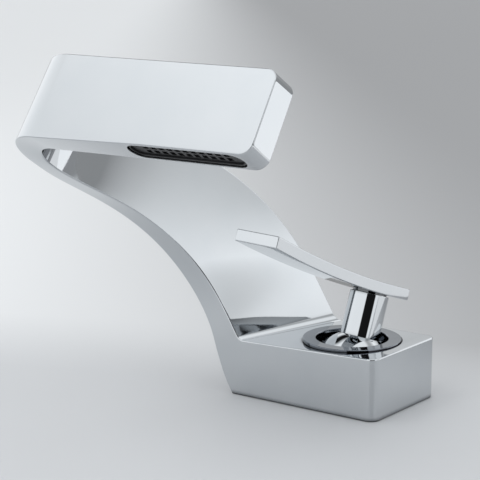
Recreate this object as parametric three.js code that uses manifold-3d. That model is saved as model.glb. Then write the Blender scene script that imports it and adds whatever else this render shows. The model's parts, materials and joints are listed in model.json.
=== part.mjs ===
// Single-lever basin mixer with a ribbon-shaped waterfall spout. Millimetres, +Z up.
// The deck is the plane z = 0, the basin is towards -Y and the spout slab runs along X.
// Pieces are drawn from the block's front left corner, and the finished part is shifted so
// that its origin is on the lever axis, at the centre of the deck hole.
import * as THREE from "three";
import { mergeVertices } from "three/addons/utils/BufferGeometryUtils.js";
import Module from "manifold-3d";

const wasm = await Module();
wasm.setup();

// ---------------------------------------------------------------- driving dimensions

// Gap kept between pieces that touch
const GAP = 0.3;

// Deck block: its right end is skewed, and its top falls to the left along the front edge
const BLOCK_LENGTH = 77.5;
const BLOCK_DEPTH = 53;
const BLOCK_HEIGHT = 29;
const BLOCK_END_SKEW = 2.3;
const BLOCK_END_RADIUS = 5;
const BLOCK_TOP_FALL = 2;

// Spout slab, a plate that leans over the basin
const SPOUT_END = 74;
const SPOUT_THICKNESS = 14.4;
const SPOUT_WIDTH = 38;
const SPOUT_LEAN = THREE.MathUtils.degToRad(57);
const SPOUT_FRONT_EDGE = new THREE.Vector3(0, -92.2, 130.8);
const SPOUT_CORNER_RADIUS = 5.5;

// Outer face of the slab widens towards the nose: slope of each edge, and where it starts
const NEAR_FLARE = 0.026;
const NEAR_FLARE_START = 20;
const FAR_FLARE = 0.0125;
const FAR_FLARE_START = 24;

// Nose, where the slab turns back into the arm: two elliptical bends around one centre line,
// which is skewed along X from the near edge to the far one
const NOSE_CENTRE = { x: -37, depth: 36 };
const NOSE_SKEW = 2;
const NOSE_OUTER_REACH = 26.2;
const NOSE_INNER_REACH = 16;

// Arm stations from the nose down to the block: the inner face's near and far edge points,
// the lean of the side faces in degrees and the thickness
const ARM = [
  { near: [-52, -56, 107.5], far: [-50.6, -35.4, 139.3], lean: 57, thick: 11.3 },
  { near: [-48.6, -43.6, 100.4], far: [-42.7, -14.8, 127.8], lean: 60, thick: 12.2 },
  { near: [-40.6, -26.7, 90.5], far: [-29.1, 11.4, 113.3], lean: 53, thick: 13.3 },
  { near: [-29.2, -10.3, 75.3], far: [-14.6, 34, 94.6], lean: 40, thick: 12.9 },
  { near: [-16.1, 0, 56.7], far: [-1.3, 49, 72.4], lean: 14, thick: 12.3 },
  { near: [-1.9, 0, 36.6], far: [11.6, 53, 51.3], lean: 0, thick: 12.3 },
];

// Crease where the arm meets the block's top, and how far its fillet reaches
const CREASE_NEAR = new THREE.Vector3(3.9, 0, BLOCK_HEIGHT - BLOCK_TOP_FALL);
const CREASE_FAR = new THREE.Vector3(24.8, BLOCK_DEPTH, BLOCK_HEIGHT);
const FILLET_NEAR = 2.2;
const FILLET_FAR = 4;

// Left end of the block below the fillet: x and z on the front face, and its skew to the back
const LEFT_END = [
  [-10, 22],
  [-8, 16.6],
  [-5.7, 10.5],
  [-3, 4.8],
  [0, 0],
];
const LEFT_END_SKEW = 24.5;

const EDGE_ROUND = 0.5;

// Lever axis, its ball centre and the pose of the lever at rest
const AXIS_X = 50;
const AXIS_Y = 26;
const PIVOT_Z = 14;
const SWIVEL_REST = THREE.MathUtils.degToRad(-10);
const TILT_REST = THREE.MathUtils.degToRad(19.3);
const SPINDLE_TIP_ARM = 4.2;

// Cavity in the block for the ball cover and the cartridge
const CAVITY_RADIUS = 22.4;
const CAVITY_FLOOR = 9;
const BOSS_RADIUS = 14.2;
const BOSS_TOP = 15;
const SEAT_RADIUS = 12.7;
const SEAT_FLOOR = -2;

// Locating spigot under the block, with the inlets and the stud hole
const SPIGOT_RADIUS = 16.5;
const SPIGOT_DEPTH = 12;
const INLET_RADIUS = 4.9;
const INLET_SPREAD = 6.5;
const INLET_Y = 4;
const PORT_RADIUS = 1.5;
const PORT_SPREAD = 5.4;
const PORT_Y = 3;
const OUTLET_BORE_RADIUS = 2.4;
const STUD_RADIUS = 3;
const STUD_Y = -11.5;

// Cover ring and ball cover
const RING_RADIUS = 23;
const RING_INNER = 16.8;
const RING_TOP = 29.8;
const RING_UNDERSIDE = 28.2;
const RING_GAP = 0.5;
const BALL_RADIUS = 18.5;
const BALL_WALL = 1.3;

// Stem and lever blade, measured up from the ball centre
const STEM_RADIUS = 9.2;
const STEM_BOTTOM = 14.6;
const STEM_TOP = 36.7;
const BLADE_UNDERSIDE = 37.5;
const BLADE_THICKNESS = 5.4;
const BLADE_FRONT = 83.5;
const BLADE_REAR = 19.2;
const BLADE_TIP_WIDTH = 25.2;
const BLADE_REAR_WIDTH = 16;
const BLADE_CURVE = 0.00093;
const NECK_RADIUS = 8;
const SCREW_HEIGHT = 25;
const SCREW_RADIUS = 2;

// Outlet slot in the slab's lower side face
const SLOT_CENTRE = 39.4;
const SLOT_HALF_LENGTH = 28.8;
const SLOT_HALF_WIDTH = 5.7;

// Deck fixing
const CLAMP_TOP = -31;
const CLAMP_RADIUS = 24;
const CLAMP_NOTCH = 9.8;

// ---------------------------------------------------------------- finishes

const finish = (color, roughness, metalness) =>
  new THREE.MeshStandardMaterial({ color, roughness, metalness });
const CHROME = () => finish(0xc6c9cc, 0.06, 1);
const DARK_CHROME = () => finish(0x7f868e, 0.12, 1);
const BRASS = () => finish(0xb8954a, 0.3, 1);
const STEEL = () => finish(0x9a9da0, 0.35, 1);
const RUBBER = () => finish(0x1a1a1a, 0.8, 0);
const BLACK_PLASTIC = () => finish(0x121315, 0.45, 0);
const WHITE_PLASTIC = () => finish(0xe4e2da, 0.45, 0);
const GREY_PLASTIC = () => finish(0x8b9096, 0.5, 0);
const CERAMIC = () => finish(0xf1efe8, 0.15, 0);

// ---------------------------------------------------------------- solids

// A closed geometry as a solid, turned outward if its faces point in
function solid(geometry) {
  const bare = geometry.clone();
  bare.deleteAttribute("normal");
  bare.deleteAttribute("uv");
  const merged = mergeVertices(bare, 1e-4);
  const index = merged.index.array;
  const triangles = [];
  for (let i = 0; i < index.length; i += 3) {
    const [a, b, c] = [index[i], index[i + 1], index[i + 2]];
    if (a !== b && b !== c && c !== a) triangles.push(a, b, c);
  }
  const position = merged.attributes.position.array;
  if (signedVolume(position, triangles) < 0) triangles.reverse();
  return new wasm.Manifold(new wasm.Mesh({
    numProp: 3,
    vertProperties: new Float32Array(position),
    triVerts: new Uint32Array(triangles),
  }));
}

function signedVolume(position, triangles) {
  const corner = (i) => new THREE.Vector3().fromArray(position, 3 * triangles[i]);
  let sum = 0;
  for (let i = 0; i < triangles.length; i += 3) {
    sum += corner(i).dot(corner(i + 1).cross(corner(i + 2)));
  }
  return sum / 6;
}

function geometryOf(manifold) {
  const { vertProperties, triVerts } = manifold.getMesh();
  const geometry = new THREE.BufferGeometry();
  geometry.setAttribute("position", new THREE.BufferAttribute(vertProperties, 3));
  geometry.setIndex(new THREE.BufferAttribute(triVerts, 1));
  geometry.computeVertexNormals();
  return geometry;
}

const join = (...parts) => parts.reduce((whole, part) => whole.add(part));
const cut = (whole, ...tools) => tools.reduce((rest, tool) => rest.subtract(tool), whole);

// Closed profile of [radius, z] points turned about Z
function revolve(profile, segments = 32) {
  const points = profile.map(([radius, z]) => new THREE.Vector2(radius, z));
  points.push(points[0].clone());
  return solid(new THREE.LatheGeometry(points, segments).rotateX(Math.PI / 2));
}

function rod(radius, low, high, segments = 32) {
  const geometry = new THREE.CylinderGeometry(radius, radius, high - low, segments);
  return solid(geometry.rotateX(Math.PI / 2).translate(0, 0, (low + high) / 2));
}

const tube = (inner, outer, low, high, segments = 32) =>
  revolve([[inner, low], [outer, low], [outer, high], [inner, high]], segments);

// Rod of a given radius between two points
function rodBetween(radius, from, to, segments = 16) {
  const along = new THREE.Vector3().subVectors(to, from);
  const geometry = new THREE.CylinderGeometry(radius, radius, along.length(), segments);
  const up = new THREE.Vector3(0, 1, 0);
  geometry.applyQuaternion(new THREE.Quaternion().setFromUnitVectors(up, along.normalize()));
  const middle = new THREE.Vector3().addVectors(from, to).multiplyScalar(0.5);
  return solid(geometry.translate(middle.x, middle.y, middle.z));
}

function box(low, high) {
  const size = high.map((value, i) => value - low[i]);
  const middle = high.map((value, i) => (value + low[i]) / 2);
  return solid(new THREE.BoxGeometry(...size).translate(...middle));
}

const oRing = (major, minor, z) =>
  solid(new THREE.TorusGeometry(major, minor, 6, 28).translate(0, 0, z));

function extrude(shape, depth, curveSegments = 12) {
  return solid(new THREE.ExtrudeGeometry(shape, { depth, bevelEnabled: false, curveSegments }));
}

// Skin over a row of sections with equal point counts, closed by a cap at each end
function loft(sections) {
  const count = sections[0].length;
  const position = sections.flat().flatMap((point) => point.toArray());
  const index = [];
  for (let row = 0; row + 1 < sections.length; row++) {
    for (let i = 0; i < count; i++) {
      const a = row * count + i;
      const b = row * count + (i + 1) % count;
      index.push(a, b, a + count, b, b + count, a + count);
    }
  }
  const last = (sections.length - 1) * count;
  for (let i = 1; i + 1 < count; i++) {
    index.push(0, i + 1, i);
    index.push(last, last + i, last + i + 1);
  }
  const geometry = new THREE.BufferGeometry();
  geometry.setAttribute("position", new THREE.Float32BufferAttribute(position, 3));
  geometry.setIndex(index);
  return solid(geometry);
}

// ---------------------------------------------------------------- body ribbon

// The ribbon is a row of frames. Each frame holds the inner and outer face's edge points,
// near the basin and far from it.
const frame = (innerNear, innerFar, outerNear, outerFar) =>
  ({ innerNear, innerFar, outerNear, outerFar });
const RAILS = ["innerNear", "innerFar", "outerNear", "outerFar"];

// Frames spaced evenly between two frames, leaving both out
function framesBetween(from, to, steps) {
  const mixed = (key, share) => new THREE.Vector3().lerpVectors(from[key], to[key], share);
  return Array.from({ length: steps - 1 }, (_, i) =>
    frame(...RAILS.map((key) => mixed(key, (i + 1) / steps))));
}

// Point of the slab's own space: along X, depth behind the front face, rise up the slab
function spoutPoint(x, depth, rise) {
  const across = new THREE.Vector3(0, Math.cos(SPOUT_LEAN), Math.sin(SPOUT_LEAN));
  const inward = new THREE.Vector3(0, Math.sin(SPOUT_LEAN), -Math.cos(SPOUT_LEAN));
  return SPOUT_FRONT_EDGE.clone()
    .addScaledVector(across, rise)
    .addScaledVector(inward, depth)
    .setX(x);
}

// How far the outer face's edges stand out beyond the inner face's
const flareAt = (x) => ({
  near: NEAR_FLARE * Math.max(0, NEAR_FLARE_START - x),
  far: FAR_FLARE * (FAR_FLARE_START - x),
});

function spoutFrame(inner, outer, flare, { inset = 0, skew = 0 } = {}) {
  return frame(
    spoutPoint(inner.x, inner.depth, inset),
    spoutPoint(inner.x + skew, inner.depth, SPOUT_WIDTH - inset),
    spoutPoint(outer.x, outer.depth, inset - flare.near),
    spoutPoint(outer.x + skew, outer.depth, SPOUT_WIDTH - inset + flare.far),
  );
}

const slabFrame = (x, inset = 0) =>
  spoutFrame({ x, depth: SPOUT_THICKNESS }, { x, depth: 0 }, flareAt(x), { inset });

// Free end of the slab, with its corners rounded by drawing the frame in
function spoutEndFrames(steps) {
  return steppedAngles(steps).reverse().map((angle) => {
    const x = SPOUT_END - SPOUT_CORNER_RADIUS * (1 - Math.sin(angle));
    return slabFrame(x, SPOUT_CORNER_RADIUS * (1 - Math.cos(angle)));
  });
}

function noseFrames(steps) {
  const innerDrop = NOSE_CENTRE.depth - SPOUT_THICKNESS;
  const widest = flareAt(NOSE_CENTRE.x);
  return steppedAngles(steps).map((angle) => {
    const sine = Math.sin(angle);
    const drop = 1 - Math.cos(angle);
    const inner = {
      x: NOSE_CENTRE.x - NOSE_INNER_REACH * sine,
      depth: SPOUT_THICKNESS + innerDrop * drop,
    };
    const outer = {
      x: NOSE_CENTRE.x - NOSE_OUTER_REACH * sine,
      depth: NOSE_CENTRE.depth * drop,
    };
    const flare = {
      near: widest.near * Math.cos(angle),
      far: widest.far * Math.cos(angle),
    };
    return spoutFrame(inner, outer, flare, { skew: NOSE_SKEW });
  });
}

// Angles from 0 to a quarter turn in equal steps
function steppedAngles(steps) {
  return Array.from({ length: steps + 1 }, (_, i) => (i / steps) * Math.PI / 2);
}

// Control frames of the arm, with the outer face set back by the thickness
function armFrames(noseEnd) {
  const edge = (key, before, after) =>
    [before, ...ARM.map((station) => new THREE.Vector3(...station[key])), after];
  const near = edge("near", noseEnd.innerNear, filletStart().near);
  const far = edge("far", noseEnd.innerFar, filletStart().far);
  return ARM.map((station, i) => frame(
    near[i + 1],
    far[i + 1],
    outerPoint(near, i + 1, station),
    outerPoint(far, i + 1, station),
  ));
}

function outerPoint(edge, i, station) {
  const along = new THREE.Vector3().subVectors(edge[i + 1], edge[i - 1]);
  const lean = THREE.MathUtils.degToRad(station.lean);
  const side = new THREE.Vector3(0, Math.cos(lean), Math.sin(lean));
  const inward = along.cross(side).normalize();
  return edge[i].clone().addScaledVector(inward, -station.thick);
}

// Where the crease's fillet leaves the arm's inner face
function filletStart() {
  const rise = (crease, station, reach) => {
    const up = new THREE.Vector3(...station).sub(crease).normalize();
    return crease.clone().addScaledVector(up, reach);
  };
  const lowest = ARM[ARM.length - 1];
  return {
    near: rise(CREASE_NEAR, lowest.near, FILLET_NEAR),
    far: rise(CREASE_FAR, lowest.far, FILLET_FAR),
  };
}

// Fillet frames: the inner face turns onto the block's top while the outer face comes down
function filletFrames() {
  const start = filletStart();
  const end = {
    near: CREASE_NEAR.clone().setX(CREASE_NEAR.x + FILLET_NEAR),
    far: CREASE_FAR.clone().setX(CREASE_FAR.x + FILLET_FAR),
  };
  const nearCurve = new THREE.QuadraticBezierCurve3(start.near, CREASE_NEAR, end.near);
  const farCurve = new THREE.QuadraticBezierCurve3(start.far, CREASE_FAR, end.far);
  return LEFT_END.map(([x, z], i) => {
    const t = i / (LEFT_END.length - 1);
    return frame(
      nearCurve.getPoint(t),
      farCurve.getPoint(t),
      new THREE.Vector3(x, 0, z),
      new THREE.Vector3(x + LEFT_END_SKEW, BLOCK_DEPTH, z),
    );
  });
}

// Right end of the block, with its upright corners rounded
function blockEndFrames(steps) {
  return steppedAngles(steps).map((angle) => {
    const near = BLOCK_LENGTH - BLOCK_END_RADIUS * (1 - Math.sin(angle));
    const far = near + BLOCK_END_SKEW;
    const inset = BLOCK_END_RADIUS * (1 - Math.cos(angle));
    return frame(
      new THREE.Vector3(near, inset, BLOCK_HEIGHT),
      new THREE.Vector3(far, BLOCK_DEPTH - inset, BLOCK_HEIGHT),
      new THREE.Vector3(near, inset, 0),
      new THREE.Vector3(far, BLOCK_DEPTH - inset, 0),
    );
  });
}

// Smooth run of frames through control frames, leaving out the first and last spans
function smoothFrames(controls, perSpan) {
  const rail = (key) => new THREE.CatmullRomCurve3(controls.map((control) => control[key]));
  const rails = RAILS.map(rail);
  const spans = controls.length - 1;
  const frames = [];
  for (let i = perSpan + 1; i < (spans - 1) * perSpan; i++) {
    frames.push(frame(...rails.map((curve) => curve.getPoint(i / (spans * perSpan)))));
  }
  return frames;
}

function ribbonFrames() {
  const nose = noseFrames(8);
  const fillet = filletFrames();
  const blockEnd = blockEndFrames(4);
  const controls = [nose[6], nose[8], ...armFrames(nose[8]), fillet[0], fillet[1]];
  return {
    spout: [...spoutEndFrames(4), slabFrame(NEAR_FLARE_START), ...nose],
    arm: smoothFrames(controls, 4),
    foot: [...fillet, ...framesBetween(fillet.at(-1), blockEnd[0], 6), ...blockEnd],
  };
}

// Outline of a frame with its four corners taken off
function ribbonSection({ innerNear, innerFar, outerFar, outerNear }) {
  const corners = [innerNear, innerFar, outerFar, outerNear];
  return corners.flatMap((corner, i) => {
    const before = corners[(i + 3) % 4];
    const after = corners[(i + 1) % 4];
    return [stepTowards(corner, before), stepTowards(corner, after)];
  });
}

function stepTowards(corner, target) {
  const step = new THREE.Vector3().subVectors(target, corner).setLength(EDGE_ROUND);
  return step.add(corner);
}

// Part of a frame's area, as shares of its width and thickness
function ductSection({ innerNear, innerFar, outerFar, outerNear }) {
  const WIDTH_SHARE = 0.2;
  const THICKNESS_SHARE = 0.27;
  const at = (width, thickness) => new THREE.Vector3()
    .lerpVectors(innerNear, innerFar, width)
    .lerp(new THREE.Vector3().lerpVectors(outerNear, outerFar, width), thickness);
  return [
    at(WIDTH_SHARE, THICKNESS_SHARE),
    at(1 - WIDTH_SHARE, THICKNESS_SHARE),
    at(1 - WIDTH_SHARE, 1 - THICKNESS_SHARE),
    at(WIDTH_SHARE, 1 - THICKNESS_SHARE),
  ];
}

// ---------------------------------------------------------------- body

// Stadium outline around the slot's centre, drawn in the slab's lower side face
function stadium(halfLength, halfWidth) {
  const straight = halfLength - halfWidth;
  const shape = new THREE.Shape();
  shape.absarc(straight, 0, halfWidth, -Math.PI / 2, Math.PI / 2);
  shape.absarc(-straight, 0, halfWidth, Math.PI / 2, 1.5 * Math.PI);
  shape.closePath();
  return shape;
}

// Puts a shape drawn around the slot's centre into the slab, from one rise to another
function inSlot(shape, fromRise, toRise) {
  const origin = spoutPoint(SLOT_CENTRE, SPOUT_THICKNESS / 2, fromRise);
  const x = new THREE.Vector3(1, 0, 0);
  const z = new THREE.Vector3(0, Math.cos(SPOUT_LEAN), Math.sin(SPOUT_LEAN));
  const y = new THREE.Vector3().crossVectors(z, x);
  const matrix = new THREE.Matrix4().makeBasis(x, y, z).setPosition(origin);
  const geometry = new THREE.ExtrudeGeometry(shape, {
    depth: toRise - fromRise,
    bevelEnabled: false,
    curveSegments: 8,
  });
  return solid(geometry.applyMatrix4(matrix));
}

const atAxis = (manifold) => manifold.translate([AXIS_X, AXIS_Y, 0]);

function waterway(ribbon) {
  const frames = [...ribbon.spout.slice(4), ...ribbon.arm, ...ribbon.foot.slice(0, 3)];
  const from = new THREE.Vector3(11, 26, 19);
  const to = new THREE.Vector3(AXIS_X - SEAT_RADIUS + 2, AXIS_Y, 0.6);
  return join(
    loft(frames.map(ductSection)),
    rodBetween(OUTLET_BORE_RADIUS, from, to),
    inSlot(stadium(SLOT_HALF_LENGTH, SLOT_HALF_WIDTH), -1, 9),
  );
}

function leverCavity() {
  const OPEN_ABOVE = BLOCK_HEIGHT + 2;
  const RING_RECESS = RING_RADIUS + RING_GAP;
  return join(
    tube(BOSS_RADIUS, CAVITY_RADIUS, CAVITY_FLOOR, OPEN_ABOVE, 48),
    rod(CAVITY_RADIUS, BOSS_TOP, OPEN_ABOVE, 48),
    rod(SEAT_RADIUS, SEAT_FLOOR, OPEN_ABOVE),
    rod(RING_RECESS, RING_UNDERSIDE - GAP, OPEN_ABOVE, 48),
  );
}

function inletBores() {
  const INLET_TOP = -5;
  const STUD_TOP = -4.5;
  const bores = [-1, 1].flatMap((side) => [
    rod(INLET_RADIUS, -SPIGOT_DEPTH - 1, INLET_TOP, 32)
      .translate([side * INLET_SPREAD, INLET_Y, 0]),
    rod(PORT_RADIUS, INLET_TOP - 1, SEAT_FLOOR + 1, 20)
      .translate([side * PORT_SPREAD, PORT_Y, 0]),
  ]);
  const stud = rod(STUD_RADIUS + GAP, -SPIGOT_DEPTH - 1, STUD_TOP, 24)
    .translate([0, STUD_Y, 0]);
  return join(...bores, stud);
}

function bodySolid() {
  const ribbon = ribbonFrames();
  const frames = [...ribbon.spout, ...ribbon.arm, ...ribbon.foot];
  const SEAL_GROOVE = tube(18.9, 21.1, -1, 2);
  return cut(
    join(loft(frames.map(ribbonSection)), atAxis(rod(SPIGOT_RADIUS, -SPIGOT_DEPTH, 1))),
    waterway(ribbon),
    atAxis(leverCavity()),
    atAxis(inletBores()),
    atAxis(SEAL_GROOVE),
  );
}

// ---------------------------------------------------------------- outlet

function outletFrame() {
  const WALL = 1;
  const half = SLOT_HALF_WIDTH - GAP;
  const length = SLOT_HALF_LENGTH - GAP;
  const shape = stadium(length, half);
  shape.holes.push(stadium(length - WALL, half - WALL));
  return inSlot(shape, 0.6, 5.6);
}

// Flow straightener: a plate with rows of square holes
function outletGrille() {
  const COLUMNS = 11;
  const COLUMN_PITCH = 4;
  const ROWS = 2;
  const ROW_PITCH = 3.6;
  const HOLE = 2.6;
  const INSET = 1.3 + GAP;
  const plate = stadium(SLOT_HALF_LENGTH - INSET, SLOT_HALF_WIDTH - INSET);
  const holes = [];
  for (let column = 0; column < COLUMNS; column++) {
    for (let row = 0; row < ROWS; row++) {
      const x = (column - (COLUMNS - 1) / 2) * COLUMN_PITCH;
      const y = (row - (ROWS - 1) / 2) * ROW_PITCH;
      holes.push(inSlot(square(x, y, HOLE / 2), 1, 5));
    }
  }
  return cut(inSlot(plate, 1.4, 4.4), ...holes);
}

function square(x, y, half) {
  return new THREE.Shape([
    new THREE.Vector2(x - half, y - half),
    new THREE.Vector2(x + half, y - half),
    new THREE.Vector2(x + half, y + half),
    new THREE.Vector2(x - half, y + half),
  ]);
}

// ---------------------------------------------------------------- cover ring and cartridge

function coverRing() {
  const SKIRT_INNER = 20.7;
  const SKIRT_OUTER = 22.1;
  const SKIRT_BOTTOM = 24;
  const GROOVE_DEPTH = 0.9;
  const GROOVE = [25.1, 26.7];
  return revolve([
    [RING_INNER, RING_UNDERSIDE],
    [SKIRT_INNER, RING_UNDERSIDE],
    [SKIRT_INNER, SKIRT_BOTTOM],
    [SKIRT_OUTER, SKIRT_BOTTOM],
    [SKIRT_OUTER, GROOVE[0]],
    [SKIRT_OUTER - GROOVE_DEPTH, GROOVE[0]],
    [SKIRT_OUTER - GROOVE_DEPTH, GROOVE[1]],
    [SKIRT_OUTER, GROOVE[1]],
    [SKIRT_OUTER, RING_UNDERSIDE],
    [RING_RADIUS, RING_UNDERSIDE],
    [RING_RADIUS, RING_TOP - 0.4],
    [RING_RADIUS - 0.4, RING_TOP],
    [RING_INNER + 0.4, RING_TOP],
    [RING_INNER, RING_TOP - 0.4],
  ], 48);
}

function cartridgeNut() {
  const FLATS = 12;
  const OUTER = BOSS_RADIUS + 1.7;
  const outer = rod(OUTER, 10.6, 18.8, FLATS);
  return cut(outer, rod(BOSS_RADIUS + GAP, 10, 17.3), rod(SEAT_RADIUS + 0.1, 10, 19));
}

function cartridgeHousing() {
  const INNER = 10.5;
  const OUTER = 12.4;
  const FLANGE = BOSS_RADIUS - 0.8;
  const LIP_INNER = 8.2;
  return revolve([
    [INNER, 3.9],
    [OUTER, 3.9],
    [OUTER, 6],
    [11.3, 6],
    [11.3, 7.6],
    [OUTER, 7.6],
    [OUTER, BOSS_TOP + GAP],
    [FLANGE, BOSS_TOP + GAP],
    [FLANGE, 17],
    [OUTER, 17],
    [OUTER, 21.4],
    [OUTER - 0.8, 22.2],
    [LIP_INNER, 22.2],
    [LIP_INNER, 21],
    [INNER, 21],
  ]);
}

// Hot and cold ports, given as a radius and a span of heights
function portPair(radius, low, high) {
  return join(...[-1, 1].map((side) =>
    rod(radius, low, high, 20).translate([side * PORT_SPREAD, PORT_Y, 0])));
}

const MIXED_PORT = [-3.2, -5.2];

function cartridgeBase() {
  const SIDE_PORT_Z = 1.5;
  const [x, y] = MIXED_PORT;
  return cut(
    rod(12.3, -0.4, 3.6),
    portPair(PORT_RADIUS, -1, 4),
    rod(PORT_RADIUS, SIDE_PORT_Z, 4, 20).translate([x, y, 0]),
    rodBetween(
      1.4,
      new THREE.Vector3(x, y, SIDE_PORT_Z),
      new THREE.Vector3(-14, 0, SIDE_PORT_Z),
      16,
    ),
  );
}

function fixedDisc() {
  const [x, y] = MIXED_PORT;
  return cut(
    rod(10.2, 3.9, 6),
    portPair(PORT_RADIUS, 3, 7),
    rod(PORT_RADIUS, 3, 7, 20).translate([x, y, 0]),
  );
}

function movingDisc() {
  const pocket = extrude(stadium(4.6, 2), 1).translate([0, -1, 6.2]);
  return cut(rod(8.2, 6.3, 8), pocket);
}

const discCarrier = () => tube(2.2, 8.2, 8.3, 11);

// ---------------------------------------------------------------- swivel and lever
// These pieces are drawn around the ball centre, with the lever pointing towards -Y

function spindleGuide() {
  const SLOT = box([-3.6, -4.4, -4], [3.6, 7.6, 8]);
  const pinHole = rodBetween(1.35, new THREE.Vector3(-12, 0, 0), new THREE.Vector3(12, 0, 0));
  return cut(rod(10, -2.7, 6.7), SLOT, pinHole);
}

const pivotPin = () =>
  rodBetween(1.15, new THREE.Vector3(-8.8, 0, 0), new THREE.Vector3(8.8, 0, 0));

// Spindle with a ball tip that drives the disc carrier
function spindle() {
  const TIP_RADIUS = 1.6;
  const tip = solid(new THREE.SphereGeometry(TIP_RADIUS, 14, 8).translate(0, 0, -SPINDLE_TIP_ARM));
  const pinHole = rodBetween(1.4, new THREE.Vector3(-9, 0, 0), new THREE.Vector3(9, 0, 0));
  const shank = rod(1.1, -SPINDLE_TIP_ARM, -1, 16);
  return cut(join(tip, shank, rod(3.1, -1.5, 31.2, 24)), pinHole);
}

function ballCover() {
  const STEM_HOLE = STEM_RADIUS + GAP;
  const RIM = THREE.MathUtils.degToRad(75);
  const STEPS = 6;
  const arc = (radius) => {
    const top = Math.asin(STEM_HOLE / radius);
    return Array.from({ length: STEPS + 1 }, (_, i) => {
      const angle = RIM + (top - RIM) * (i / STEPS);
      return [radius * Math.sin(angle), radius * Math.cos(angle)];
    });
  };
  return revolve([...arc(BALL_RADIUS), ...arc(BALL_RADIUS - BALL_WALL).reverse()], 40);
}

function stem() {
  const BORE = 4;
  const COUNTERBORE = 32;
  const barrel = revolve([
    [BORE, STEM_BOTTOM],
    [STEM_RADIUS, STEM_BOTTOM],
    [STEM_RADIUS, STEM_TOP - 0.3],
    [STEM_RADIUS - 0.3, STEM_TOP],
    [NECK_RADIUS + GAP, STEM_TOP],
    [NECK_RADIUS + GAP, COUNTERBORE],
    [BORE, COUNTERBORE],
  ], 40);
  const from = new THREE.Vector3(0, 1, SCREW_HEIGHT);
  const to = new THREE.Vector3(0, STEM_RADIUS + 1, SCREW_HEIGHT);
  return cut(barrel, rodBetween(SCREW_RADIUS + GAP, from, to));
}

const bladeRise = (y) => BLADE_UNDERSIDE + BLADE_CURVE * y * y;

// Curved blade that tapers from its tip to its rear, with the neck that plugs into the stem
function leverBlade() {
  const STEPS = 20;
  const EDGE = 0.4;
  const sections = Array.from({ length: STEPS + 1 }, (_, i) => {
    const share = i / STEPS;
    const y = -BLADE_FRONT + (BLADE_FRONT + BLADE_REAR) * share;
    const half = THREE.MathUtils.lerp(BLADE_TIP_WIDTH, BLADE_REAR_WIDTH, share) / 2;
    const low = bladeRise(y);
    const high = low + BLADE_THICKNESS;
    return [
      [half - EDGE, low], [half, low + EDGE], [half, high - EDGE], [half - EDGE, high],
      [EDGE - half, high], [-half, high - EDGE], [-half, low + EDGE], [EDGE - half, low],
    ].map(([x, z]) => new THREE.Vector3(x, y, z));
  });
  return join(loft(sections), rod(NECK_RADIUS, 32.4, BLADE_UNDERSIDE + 1));
}

function setScrew() {
  const barrel = rodBetween(
    SCREW_RADIUS,
    new THREE.Vector3(0, 3.5, SCREW_HEIGHT),
    new THREE.Vector3(0, 7, SCREW_HEIGHT),
  );
  const socket = rodBetween(
    1,
    new THREE.Vector3(0, 5.4, SCREW_HEIGHT),
    new THREE.Vector3(0, 7.4, SCREW_HEIGHT),
    6,
  );
  return cut(barrel, socket);
}

const screwPlug = () => rodBetween(
  SCREW_RADIUS,
  new THREE.Vector3(0, 7.3, SCREW_HEIGHT),
  new THREE.Vector3(0, 8.8, SCREW_HEIGHT),
);

// ---------------------------------------------------------------- deck fixing

// Horseshoe plate around the hoses, with a hole for the stud
function horseshoe(low, thickness) {
  const NOTCH_Y = 5;
  const open = Math.asin(CLAMP_NOTCH / CLAMP_RADIUS);
  const shape = new THREE.Shape();
  shape.absarc(0, 0, CLAMP_RADIUS, Math.PI / 2 + open, 2.5 * Math.PI - open);
  shape.absarc(0, NOTCH_Y, CLAMP_NOTCH, 0, -Math.PI, true);
  shape.closePath();
  const hole = new THREE.Path();
  hole.absarc(0, STUD_Y, STUD_RADIUS + GAP, 0, 2 * Math.PI);
  shape.holes.push(hole);
  return extrude(shape, thickness, 14).translate([0, 0, low]);
}

function fixingNut() {
  const HEX_RADIUS = 5.8;
  return cut(rod(HEX_RADIUS, -45, -36.7, 6), rod(STUD_RADIUS + 0.2, -46, -36, 24))
    .translate([0, STUD_Y, 0]);
}

// ---------------------------------------------------------------- assembly

function named(name, manifold, material) {
  const mesh = new THREE.Mesh(geometryOf(manifold), material);
  mesh.name = name;
  return mesh;
}

function placed(children, x = 0, y = 0, z = 0) {
  const group = new THREE.Group();
  group.position.set(x, y, z);
  group.add(...children);
  return group;
}

const portSeal = (name, side) => named(
  name,
  tube(1.7, 2.7, -1.8, -0.7, 24).translate([side * PORT_SPREAD, PORT_Y, 0]),
  RUBBER(),
);

const cartridge = placed([
  named("cartridge_base", cartridgeBase(), GREY_PLASTIC()),
  portSeal("hot_port_seal", -1),
  portSeal("cold_port_seal", 1),
  named("fixed_disc", fixedDisc(), CERAMIC()),
  named("cartridge_housing", cartridgeHousing(), WHITE_PLASTIC()),
  named("cartridge_o_ring", oRing(12, 0.6, 6.8), RUBBER()),
  named("cartridge_nut", cartridgeNut(), BRASS()),
  named("cover_ring", coverRing(), DARK_CHROME()),
  named("cover_ring_seal", oRing(21.8, 0.5, 25.9), RUBBER()),
], AXIS_X, AXIS_Y, 0);

const fixing = placed([
  named("base_seal", oRing(20, 0.8, 0.9), RUBBER()),
  named("fixing_stud", rod(STUD_RADIUS, -62, -5, 24).translate([0, STUD_Y, 0]), STEEL()),
  named("rubber_washer", horseshoe(CLAMP_TOP - 3, 3), RUBBER()),
  named("clamp_plate", horseshoe(CLAMP_TOP - 5.3, 2), STEEL()),
  named("fixing_nut", fixingNut(), BRASS()),
], AXIS_X, AXIS_Y, 0);

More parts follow.
